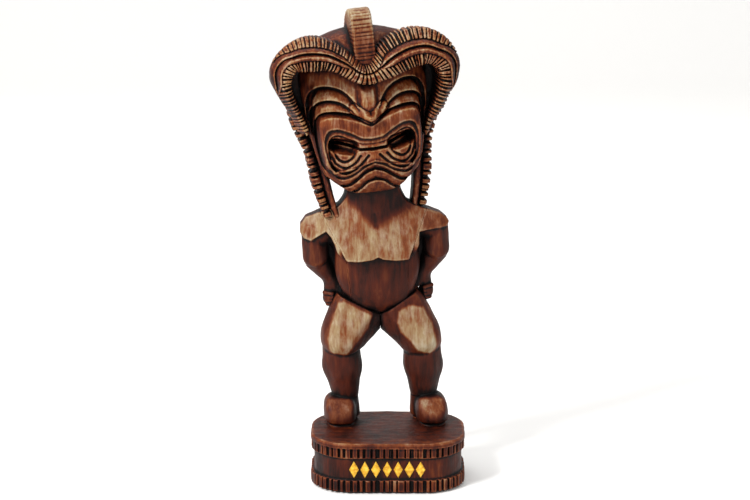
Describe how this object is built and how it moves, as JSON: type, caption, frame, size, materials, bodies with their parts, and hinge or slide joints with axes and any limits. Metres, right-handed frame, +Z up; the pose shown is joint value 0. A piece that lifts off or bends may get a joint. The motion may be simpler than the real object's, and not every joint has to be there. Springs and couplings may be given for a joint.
{
  "type": "tiki figure",
  "caption": "Standing carved wooden tiki figure with bent knees, a heart-shaped notched headdress and hanging tresses, on an oval notched plinth.",
  "frame": {"origin": "middle of the underside of the felt pad, on the surface the figure stands on", "axes": "+Z up along the standing figure, -Y towards its front, +X towards the figure's own left"},
  "size_m": [0.1218, 0.072, 0.305],
  "materials": {
    "dark_wood": "dark walnut stain, waxed, chisel marks",
    "mid_wood": "red-brown stain, satin wax",
    "pale_wood": "tan stain rubbed back, satin wax",
    "head_wood": "brown stain rubbed back on the ridges",
    "dowel_wood": "plain turned birch",
    "gilt": "yellow-gold paint",
    "felt": "dark felt",
    "steel": "zinc-plated"
  },
  "bodies": {
    "root": {"felt_pad": "felt", "plinth": "mid_wood", "front_motif": "gilt", "left_leg": "mid_wood", "right_leg": "mid_wood", "torso": "pale_wood", "left_arm": "mid_wood", "right_arm": "mid_wood", "head": "head_wood", "left_headdress": "dark_wood", "right_headdress": "dark_wood", "crest": "pale_wood", "left_tress": "dark_wood", "right_tress": "dark_wood", "neck_dowel": "dowel_wood", "hip_dowels": "dowel_wood", "shoulder_dowels": "dowel_wood", "headdress_dowels": "dowel_wood", "crest_pins": "dowel_wood", "tress_pins": "dowel_wood", "hand_pins": "dowel_wood", "foot_dowels": "dowel_wood", "foot_screws": "steel"}
  },
  "joints": []
}
